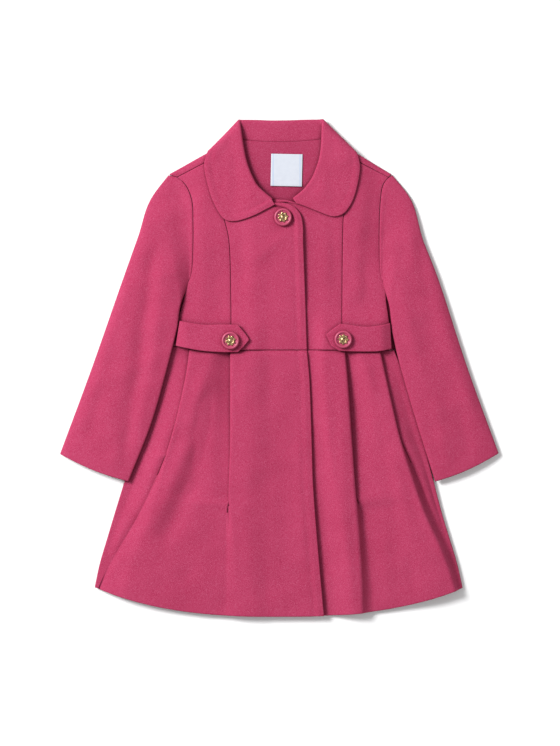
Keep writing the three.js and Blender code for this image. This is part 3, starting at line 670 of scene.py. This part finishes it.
def bodiceBack():
    inset = shoulders["inset"]
    tipRight, tipLeft = (half["shoulder"]["tip"] for half in sides)
    neckRight, neckLeft = (half["shoulder"]["neck"] for half in sides)

    def edgeOf(side):
        pairs = np.array(side["sideSeam"] + side["armhole"][1:-1] + [side["shoulder"]["tip"]], float)
        up = pairs[:, 1]
        under = shoulders["underarm"] * ease(118, 96, up) + shoulders["underSleeve"] * ease(80, 40, up)
        rows = list(zip(up, pairs[:, 0] + under - body["seam"]))
        return readTable(["up", "across"], rows)

    top = [(-tipRight[0], tipRight[1] - inset), (-neckRight[0], neckRight[1] - inset)]
    top += backNeckline
    top += [(neckLeft[0] + 2, neckLeft[1] - inset), (tipLeft[0], tipLeft[1] - inset)]
    top = np.array(top, float)
    share, across = shares(*backPieces["bodiceGrid"])
    up = mix(body["waist"] + body["seam"], tipRight[1] - inset, share)
    x = mix(-edgeOf(right)("across", up), edgeOf(left)("across", up), across)
    y = mix(waistAt(x) + body["seam"], np.interp(x, top[:, 0], top[:, 1]), share)
    grid = pointsOf(x, y, backAt(x, y))
    return woolShell("bodice_back", grid, (sewn, whole, whole, whole), woolShadedInside)


def shoulderRoll(side):
    marks = {key: np.array(value, float) for key, value in side["shoulder"].items()}
    share = np.linspace(0, 1, shoulders["rows"])[:, None]
    signed = np.array([side["sign"], 1.0])
    rim = mix(marks["tip"], marks["neck"], share) * signed
    seam = mix(marks["tipSeam"], marks["neckSeam"], share) * signed + [0, shoulders["seam"]]
    inward = (seam - rim) / np.linalg.norm(seam - rim, axis=-1, keepdims=True)
    low = backAt(*rim.T)
    radius = (bodiceAt(side, *rim.T) - low) / 2
    lines = []
    for reach in np.linspace(*shoulders["tongue"], 5):
        lines.append(np.column_stack([rim + inward * reach, low]))
    for turn in np.linspace(-1, 1, shoulders["bend"]):
        swing = turn * math.pi / 2
        place = rim + inward * (radius * (1 - math.cos(swing)))[:, None]
        lines.append(np.column_stack([place, low + radius * (1 + math.sin(swing))]))
    start = lines[-1][:, :2]
    for part in (0.3, 0.6, 0.85, 1):
        place = mix(start, seam, part)
        settle = shoulders["dip"] * ease(0.7, 1, part)  # the seam is drawn in
        lines.append(np.column_stack([place, bodiceAt(side, *place.T) - settle]))
    return clothShell(f"shoulder_{side['name']}_cloth", np.stack(lines), layers["cloth"],
                      (whole, sewn, sewn, sewn), woolFace, "pink_wool", "bodice_back", flip=side["sign"] > 0)


plate = bodiceBack()
rolls = [shoulderRoll(half) for half in sides]
declareSheet(backPieces["bodiceCut"])

# Rows of the collar: seam on the neckline, fold, edge of the leaf, and how far behind the neck
right["collar"] = [
    ((8, 190.4), (8.2, 193), (4.6, 187), 0), ((19.4, 197.4), (17.5, 200.7), (15, 181.4), 0),
    ((29.6, 205.4), (26, 209), (31.6, 173.3), 0), ((37.2, 215.6), (31.4, 219), (50.7, 167.9), 0),
    ((43.6, 226.4), (35.6, 229), (64.5, 171.5), 0), ((48.9, 238.6), (38.9, 240), (76, 190.5), 0),
    ((53, 250), (41.2, 251.5), (82.8, 212), 0), ((54.6, 256), (43, 263), (86.2, 232), 0),
    ((54.4, 260), (44.4, 275), (83.2, 245), 0.12), ((52.6, 262.6), (44.8, 282), (79.6, 249.6), 0.5),
    ((50, 262.4), (43, 283.6), (80, 247.6), 0.97), ((46, 261.8), (39, 283.7), (84, 238), 1),
    ((30, 259.4), (26, 283.6), (62, 224), 1), ((10, 257.8), (10, 283), (24, 220.5), 1),
]
left["collar"] = [
    ((17.2, 190.6), (15.7, 193.8), (19.4, 188.4), 0), ((29.4, 199), (26.5, 202.4), (30, 184.8), 0),
    ((38, 206.6), (33.5, 210.5), (46, 178.4), 0), ((45.4, 216), (38.8, 218.8), (62, 173.3), 0),
    ((51, 226.2), (42.6, 228), (74.5, 177.4), 0), ((55.6, 237), (45.9, 238), (83.8, 190.8), 0),
    ((58.4, 250.6), (48, 249), (89.6, 209.4), 0), ((59.6, 257), (49, 262), (92.6, 229.6), 0),
    ((59.2, 261.4), (49, 275), (90, 243), 0.12), ((57.4, 264), (48.4, 282.6), (86.4, 248.6), 0.5),
    ((54.6, 263.4), (46, 284), (87, 246.6), 0.97), ((50, 262.4), (42, 284), (90, 237), 1),
    ((32, 259.6), (28, 283.8), (66, 224), 1), ((12, 257.8), (12, 283.2), (26, 220.5), 1),
]
for half in sides:
    neckSeam = moved([row[0] for row in half["collar"][:7]], 0.6, -1)
    outerSeam = smoothLine(moved(half["princess"], -body["seam"]), half["sign"])
    innerSeam = smoothLine(half["freeEdge"] + neckSeam, half["sign"])
    bodicePanel("centre", half, outerSeam, innerSeam, (sewn, sewn, sewn, whole))

print("collar")
collarShape = {
    "fine": 7, "stand": 6, "bend": 7, "leaf": np.append([0.03, 0.08, 0.14], np.linspace(0.22, 1, 16)),
    "cut": (470, 110, 27000), "standRise": 3.0, "standSeat": 0.3, "outward": (0.73, 0.68),
}
collarCreases = {
    -1: [(-52, 250, -60, 190, 8, 0.7), (-40, 224, -30, 196, 6, 0.5), (-76, 236, -70, 200, 7, -0.5),
         (-60, 262, -80, 236, 6, 0.5)],
    1: [(45, 238, 52, 190, 8, 0.9), (46, 222, 38, 200, 6, 0.5), (82, 236, 78, 200, 7, -0.5),
        (64, 262, 84, 236, 6, 0.5)],
}


def standAt(side, behind, place):
    under = layers["back"] + layers["backNeckLift"] + collarShape["standSeat"]
    return mix(bodiceAt(side, *place[:2]), under, behind)


def leafAt(side, behind, place):
    over = bodiceAt(side, *place[:2]) + layers["collarStep"]
    return mix(over, layers["back"], ease(0, 1, behind))


def collar():
    columns = ["station", "sx", "sy", "fx", "fy", "ex", "ey", "behind"]
    mirror = np.array([-1, 1, -1, 1, -1, 1, 1])
    listed = [(*s, *f, *e, b) * mirror for s, f, e, b in right["collar"]]
    listed += [(*s, *f, *e, b) for s, f, e, b in reversed(left["collar"])]
    rows = [(i, *row) for i, row in enumerate(listed)]
    at = readTable(columns, rows)
    last = len(rows) - 1
    fields = {sign: creaseField(collarCreases[sign]) for sign in (-1, 1)}
    step = layers["collarStep"]
    lines = []
    for station in np.linspace(0, last, collarShape["fine"] * last + 1):
        side = right if station < last / 2 else left
        value = {name: at(name, station) for name in columns[1:]}
        behind = min(1, max(0, value["behind"]))
        turn = behind * math.pi
        seam, fold, edge = (np.array([value[k + "x"], value[k + "y"], 0.0]) for k in "sfe")
        outward = np.array([side["sign"] * collarShape["outward"][0], collarShape["outward"][1], 0.0])
        rise = (np.array([0, 0, math.cos(turn)]) + outward * math.sin(turn)) * step
        standRise = collarShape["standRise"] * behind
        into = (seam - fold) / np.linalg.norm(seam - fold)
        foldIn = fold + into * step / 2
        foldIn[2] = standAt(side, behind, foldIn) + standRise
        points = []
        for part in np.linspace(0, 1, collarShape["stand"], endpoint=False):
            place = mix(seam, foldIn, part)
            points.append([*place[:2], standAt(side, behind, place) + standRise * part])
        middle = foldIn + rise / 2
        for angle in np.linspace(0, 1, collarShape["bend"]):
            swing = -math.cos(math.pi * angle) / 2
            points.append(middle + rise * swing - into * (step / 2 * math.sin(math.pi * angle)))
        leafStart = foldIn + rise
        for part in collarShape["leaf"]:
            place = mix(leafStart, edge, part)
            height = mix(leafStart[2], leafAt(side, behind, place), ease(0, 0.3, part))
            front = (1 - ease(0, 0.5, behind)) * ease(0.1, 0.4, part)
            lift = fields[side["sign"]](*place[:2]) + unevenness(*place[:2], 0.25)
            turned = turnedEdge("collar", np.linalg.norm((edge - place)[:2]))
            points.append([*place[:2], height + front * (max(lift, -0.15) + turned)])
        lines.append(points)
    piece = woolShell("collar", np.array(lines), (whole, whole, sewn, whole))
    declareSheet(collarShape["cut"])


collar()

print("sleeves")
sleeveColumns = ["at", "ox", "oy", "ix", "iy", "rise"]
right["sleeve"] = [
    (0, 126.2, 221, 108.8, 94.6, 3), (0.12, 145.6, 192.6, 112.6, 73.5, 5.4),
    (0.28, 158.6, 157.4, 117, 50, 7), (0.5, 181.2, 94, 127.5, 8, 7.2),
    (0.75, 214.8, -2, 147, -61, 7), (1, 251, -99.5, 174, -130, 5.6),
]
left["sleeve"] = [
    (0, 128.8, 220.8, 123, 94.6, 3), (0.12, 148.8, 192.6, 125.6, 72, 5.4), (0.28, 162.4, 151, 129.6, 46, 7),
    (0.5, 182.8, 98, 139.2, 4, 7.2), (0.75, 215.6, -2, 156.8, -57, 7), (1, 251, -98.7, 179.8, -130.3, 5.6),
]
sleeves = {
    "bow": 3.0, "seam": 0.25, "ease": 1.6, "rows": 112, "turn": 96, "cut": (175, 335, 50000),
    "upper": 2.9, "shallow": 0.85, "fall": 0.3,
    "lift": {-1: 6.2, 1: 3.6}, "liftBend": {-1: 0.45, 1: 0.7},  # the inner edge lies on the body
}
sleeveCreases = {
    -1: [
        (-143, 140, -150, 66, 10, -2.6), (-149, 80, -160, -8, 11, -3.4), (-159, 0, -178, -96, 11, -3.4),
        (-134, 130, -143, 20, 9, 1.3), (-143, 24, -164, -84, 9, 1.3),
        (-172, 100, -222, -60, 8, 1.0), (-118, 130, -128, 80, 8, 0.8), (-200, -20, -228, -112, 8, -0.6),
        (-112, 110, -160, 96, 6, 0.5), (-170, -40, -190, -116, 7, 0.8),
    ],
    1: [
        (146, 190, 168, 60, 8, 0.9), (158, 130, 200, -60, 12, -1.2), (182, 80, 232, -70, 8, 1.2),
        (140, 90, 168, -20, 8, 0.9), (128, 150, 134, 90, 8, 0.8), (178, -30, 196, -118, 8, 0.9),
        (206, -40, 222, -112, 7, -0.7), (124, 100, 170, 84, 6, 0.5),
    ],
}


def sleeve(side):
    sign = side["sign"]
    at = readTable(sleeveColumns, side["sleeve"])
    first = np.array(side["sleeve"][0][1:5], float)
    armhole = smoothLine([tuple(first[:2])] + side["armhole"][:0:-1] + [tuple(first[2:])])
    along = np.linspace(0, 1, sleeves["rows"])[:, None]
    angle = np.linspace(0, math.tau, sleeves["turn"], endpoint=False)[None, :]
    share = (1 - np.cos(angle)) / 2
    value = {name: at(name, along) for name in sleeveColumns[1:]}
    x = mix(value["ox"], value["ix"], share)
    y = mix(value["oy"], value["iy"], share)
    hole = armhole(share)
    fade = 1 - ease(0, 0.3, along)
    x = x + (hole[..., 0] - mix(first[0], first[2], share)) * fade
    y = y + (hole[..., 1] - mix(first[1], first[3], share)) * fade
    x = x + sleeves["seam"] * (1 - ease(0, 0.2, along))
    x = x + sleeves["ease"] * np.sin(math.pi * np.clip(along / 0.3, 0, 1))
    y = y - sleeves["bow"] * np.sin(math.pi * share) * ease(0.7, 1, along)
    lift = sleeves["lift"][sign] * share ** sleeves["liftBend"][sign] * ease(0.02, 0.16, along)
    head = np.maximum(sleeves["upper"], bodiceAt(side, sign * x, y) - layers["back"])
    full = value["rise"] * (1 - sleeves["fall"] * share)
    rise = mix(head, full, ease(0, 0.28, along))
    sine = np.sin(angle)
    bulge = np.where(sine > 0, np.abs(sine) ** sleeves["shallow"], -np.abs(sine) ** 0.5)
    z = layers["back"] + lift + rise * (1 + bulge) / 2
    top = ease(0.1, 0.75, bulge)  # creases belong to the upper cloth
    field = creaseField(sleeveCreases[sign])(sign * x, y) + unevenness(sign * x, y, 0.3)
    field = np.maximum(field, layers["cloth"] + 0.3 - rise)  # keeps off the lower cloth
    z = z + field * top * ease(0, 0.05, along) * ease(1, 0.94, along)
    z = z + turnedEdge("sleeve", along) * top
    grid = pointsOf(sign * x, y, z)
    piece = woolShell(f"sleeve_{side['name']}", grid, (sewn, whole), ring=True, flip=sign > 0)
    declareSheet(sleeves["cut"])


for half in sides:
    sleeve(half)

print("neck facing and label")
facing = {
    "cloth": 1.4, "seat": 0.45, "cut": (104, 86, 6200), "grid": (36, 40), "rise": 3.2,
    "rows": [(186, 3, 11), (192, 12, 20), (206, 25, 33), (222, 35, 42), (240, 45, 51), (259.4, 48, 53)],
}


def neckFacing():
    at = readTable(["up", "right", "left"], facing["rows"])
    share, across = shares(*facing["grid"])
    up = mix(facing["rows"][-1][0], facing["rows"][0][0], share)
    x = mix(-at("right", up), at("left", up), across)
    y = up + facing["rise"] * (x / 50) ** 2 * ease(225, 259, up)  # follows the neck seam at the top
    z = backAt(x, y) + layers["cloth"] / 2 + facing["seat"] + facing["cloth"] / 2
    piece = clothShell("neck_facing_cloth", pointsOf(x, y, z), facing["cloth"], (whole,) * 4,
                       woolShadedInside, "pink_wool", "back_neck_facing", flip=True)
    declareSheet(facing["cut"])


neckFacing()

label = {
    "across": 8.3, "up": 226.9, "width": 36.0, "length": 37.0, "turn": -0.021, "cloth": 0.8, "gap": 0.3,
    "line": 0.43, "area": 0.998,  # shares of the width and of the area
    "curl": 0.5, "ripple": 0.12, "wave": 5.2, "grid": 19,
}


def satinMaterial():
    shader = Shader("label satin", Roughness=0.42, Sheen_Weight=0.15)
    weave = shader.node("ShaderNodeTexWave", {"Vector": shader.place, "Scale": 1500.0}, 1)
    mottle = shader.noise(220.0, 2.0)
    cloth = shader.blend(mottle, linear(190, 195, 206), linear(200, 204, 213))
    x = shader.node("ShaderNodeSeparateXYZ", {0: shader.place})
    across = (x - label["across"] * mm).maths("ABSOLUTE") * (1 / mm)
    fromLine = (across - label["line"] * label["width"]).maths("ABSOLUTE")
    border = shader.ramp(fromLine, 1.0, 0.0, 0.25, 0.45)
    shader.feed("Base Color", shader.blend(border, cloth, linear(150, 176, 208)))
    shader.feed("Roughness", shader.ramp(weave, 0.36, 0.52))
    shader.bump(weave, 0.00004, 0.5)
    return shader.material


def neckLabel():
    across = np.linspace(-0.5, 0.5, label["grid"])[None, :] * label["width"]
    up = np.linspace(0.5, -0.5, label["grid"])[:, None] * label["length"]
    across, up = np.broadcast_arrays(across, up)
    cos, sin = math.cos(label["turn"]), math.sin(label["turn"])
    x = label["across"] + across * cos - up * sin
    y = label["up"] + across * sin + up * cos
    under = backAt(x, y) + layers["cloth"] / 2 + facing["seat"] + facing["cloth"]
    down = -up / label["length"]
    curl = label["curl"] * ease(0.36, 0.5, down)
    curl = curl + label["ripple"] * np.sin(across / label["wave"]) * ease(0.1, 0.5, down)
    z = under + label["gap"] + label["cloth"] / 2 + np.maximum(0, curl)
    piece = clothShell("neck_label_cloth", pointsOf(x, y, z), label["cloth"], (whole,) * 4,
                       satinMaterial(), "label_satin", "neck_label", flip=True)
    width, length = label["width"], label["length"]
    declareSheet((width, length, label["area"] * width * length))


neckLabel()

print("waist tabs")
tabs = {"cloth": 3.2, "seat": 0.55, "rim": 1.1, "cut": (84, 34, 2500), "grid": (81, 26)}
right["tab"] = [
    ((-113, 54), (-117.6, 25.2)), ((-102, 51.8), (-104, 22)), ((-86.7, 49.6), (-87.8, 19.2)),
    ((-67.1, 49.8), (-68, 17.9)), ((-47.4, 49.5), (-47.4, 17.9)), ((-40.4, 41.2), (-41, 24)),
    ((-34.6, 33.2), (-34.6, 31.6)),
]
left["tab"] = [
    ((125.6, 51.4), (127.6, 22)), ((113, 48.4), (114, 18.9)), ((98, 47.3), (98, 18.4)),
    ((80, 49.6), (80, 18.8)), ((69.4, 50.6), (68.6, 19.4)), ((60.6, 44.2), (59.6, 24.6)),
    ((53.8, 38.6), (53.8, 36.8)),
]


# The long edges of a tab run smoothly to its corners, and straight on from there to its point
def tabLine(pairs, corner=4, share=0.8):
    smooth = smoothLine(pairs[:corner + 1])
    straight = np.array(pairs[corner:], float)

    def at(part):
        ahead = np.clip((part - share) / (1 - share), 0, 1)
        marks = np.linspace(0, 1, len(straight))
        end = np.stack([np.interp(ahead, marks, straight[:, k]) for k in (0, 1)], axis=-1)
        return np.where((part > share)[..., None], end, smooth(part / share))

    return at


def tab(side):
    top = tabLine([row[0] for row in side["tab"]])
    low = tabLine([row[1] for row in side["tab"]])
    share, part = shares(*tabs["grid"])
    place = mix(top(share), low(share), part[..., None])
    x, y = place[..., 0], place[..., 1]

    def heightAt(x):
        return bodiceAt(side, x, body["waist"])

    slope = (heightAt(x + 1) - heightAt(x - 1)) / 2
    out = pointsOf(-slope, 0.0, 1.0)
    out /= np.linalg.norm(out, axis=-1, keepdims=True)
    far = layers["cloth"] / 2 + tabs["seat"] + tabs["cloth"] / 2
    grid = pointsOf(x, y, heightAt(x)) + out * far
    name = side["name"]
    piece = woolShell("tab_" + name, grid, (tabs["rim"],) * 4, thickness=tabs["cloth"],
                      flip=side["sign"] > 0)
    declareSheet(tabs["cut"])


for half in sides:
    tab(half)

print("buttons")
button = {
    "turn": 72, "gap": 0.3, "dish": 3.1, "petals": 8, "rosette": 6.4,
    "profile": [
        (0.02, 0), (4, 0), (8.2, 0), (8.9, 0.12), (9.5, 0.42), (9.9, 0.85), (10.15, 1.4), (10.2, 2.0),
        (10.15, 2.8), (10.0, 3.4), (9.7, 4.0), (9.3, 4.4), (8.9, 4.58), (8.45, 4.58), (8.05, 4.45),
        (7.7, 4.2), (7.45, 3.8), (7.3, 3.4), (7.1, 3.14), (6.8, 3.04), (6, 3.0), (3, 3.0), (0.02, 3.0),
    ],
    "petalProfile": [  # shares of the rosette's radius, and heights
        (0.02, 0), (0.5, 0), (0.96, 0), (1, 0.2), (0.98, 0.5), (0.9, 0.75), (0.78, 0.95), (0.62, 0.8),
        (0.44, 0.35), (0.34, 0.5), (0.27, 0.85), (0.18, 1.1), (0.02, 1.2),
    ],
}
tabTop = layers["stack"] + layers["cloth"] / 2 + tabs["seat"] + tabs["cloth"]
neckSeat = layers["front"] + layers["neckLift"] + layers["step"] + layers["cloth"] / 2
buttonPlaces = [
    ("neck", 4.2, 172.5, neckSeat, 0.2), ("right", -55.9, 31.2, tabTop, 1.1),
    ("left", 73.1, 32.5, tabTop, 2.3),
]


# A solid from rings of points, closed by one middle point at each end
def closedRings(name, rings, material, slot, node):
    rings = np.array(rings)
    count, turn = rings.shape[:2]
    points = [rings.reshape(-1, 3), [rings[0].mean(axis=0)], [rings[-1].mean(axis=0)]]
    pairs = [(t, (t + 1) % turn) for t in range(turn)]
    faces = []
    for row in range(count - 1):
        low, high = row * turn, (row + 1) * turn
        faces += [(low + t, low + u, high + u, high + t) for t, u in pairs]
    for t, u in pairs:
        faces += [(count * turn, u, t), (count * turn + 1, high + t, high + u)]
    return makePiece(name, np.concatenate(points), faces, material, slot, node)


def resinMaterial():
    shader = Shader("pink button resin", Roughness=0.45, Coat_Weight=0.1, Coat_Roughness=0.3)
    cloud = shader.noise(160.0, 3.0)
    grain = shader.noise(900.0, 2.0)
    shader.feed("Base Color", shader.blend(cloud, linear(166, 52, 86), linear(184, 74, 106)))
    shader.feed("Roughness", shader.ramp(grain, 0.3, 0.5))
    shader.bump(grain, 0.00004, 0.4)
    return shader.material


def brassMaterial():
    shader = Shader("old brass", Metallic=1.0, Roughness=0.3)
    tarnish = shader.noise(700.0, 4.0)
    shader.feed("Base Color", shader.blend(
        shader.ramp(tarnish, 0.0, 1.0, 0.4, 0.62), linear(206, 178, 132), linear(104, 74, 52)))
    shader.feed("Roughness", shader.ramp(tarnish, 0.22, 0.5))
    shader.bump(tarnish, 0.00005, 0.6)
    return shader.material


buttonResin, oldBrass = resinMaterial(), brassMaterial()


def roundButton(name, x, y, seat, turn):
    angles = np.linspace(0, math.tau, button["turn"], endpoint=False) + turn
    base = seat + button["gap"]

    def ringAt(radius, height):
        return pointsOf(x + radius * np.cos(angles), y + radius * np.sin(angles), height)

    rings = [ringAt(radius, base + height) for radius, height in button["profile"]]
    closedRings(f"button_{name}_shell", rings, buttonResin, "button_resin", f"button_{name}")
    petals = (1 + np.cos(angles * button["petals"] - turn * button["petals"])) / 2
    floor = base + button["dish"] + button["gap"]
    rings = []
    for part, height in button["petalProfile"]:
        radius = button["rosette"] * part * mix(1, mix(0.74, 1, petals), ease(0.3, 0.8, part))
        ripple = 0.3 * (petals - 0.5) * ease(0.4, 0.7, part) * ease(0.3, 0.6, height)
        rings.append(ringAt(radius, floor + height + ripple))
    closedRings(f"rosette_{name}_metal", rings, oldBrass, "old_brass", f"rosette_{name}")


for place in buttonPlaces:
    roundButton(*place)

print("floor, light and camera")
studio = {
    "ground": (0.955, 0.955, 0.96), "reach": 3.0, "world": 0.38,
    "key": ((-2.2, 1.3, 2.2), (1.2, 1.2), 158.0), "fill": ((1.4, -0.6, 2.6), (2.0, 2.0), 12.0),
    "height": 3.0, "centre": (0.00075, -0.0059), "frameHeight": 0.858, "sensor": 24.0,  # the camera's
}


def floorMaterial():
    shader = Shader("white surface", Roughness=0.9, Specular_IOR_Level=0.1)
    ground = studio["ground"] + (1.0,)
    duller = tuple(c * 0.99 for c in studio["ground"]) + (1.0,)
    shader.feed("Base Color", shader.blend(shader.noise(30.0), ground, duller))
    return shader.material


def addFloor():
    mesh = bpy.data.meshes.new("floor")
    reach = studio["reach"]
    corners = [(-reach, -reach, 0), (reach, -reach, 0), (reach, reach, 0), (-reach, reach, 0)]
    mesh.from_pydata(corners, [], [(0, 1, 2, 3)])
    mesh.materials.append(floorMaterial())
    addObject("floor", mesh)


def addLight(name, at, size, power):
    data = bpy.data.lights.new(name, "AREA")
    data.shape = "RECTANGLE"
    data.size, data.size_y = size
    data.energy = power
    lamp = addObject(name, data)
    lamp.location = at
    lamp.rotation_euler = (-Vector(at)).to_track_quat("-Z", "Y").to_euler()


def addCamera():
    data = bpy.data.cameras.new("camera")
    data.sensor_fit = "VERTICAL"
    data.sensor_height = data.sensor_width = studio["sensor"]
    data.lens = studio["sensor"] * studio["height"] / studio["frameHeight"]
    camera = addObject("camera", data)
    camera.location = (*studio["centre"], studio["height"])
    bpy.context.scene.camera = camera


addFloor()
for lamp in ("key", "fill"):
    addLight(lamp, *studio[lamp])
world = bpy.data.worlds.new("studio")
bpy.context.scene.world = world
world.use_nodes = True
sky = world.node_tree.nodes["Background"].inputs
sky["Color"].default_value = (1, 1, 1, 1)
sky["Strength"].default_value = studio["world"]
bpy.context.scene.view_settings.view_transform = "Standard"
addCamera()
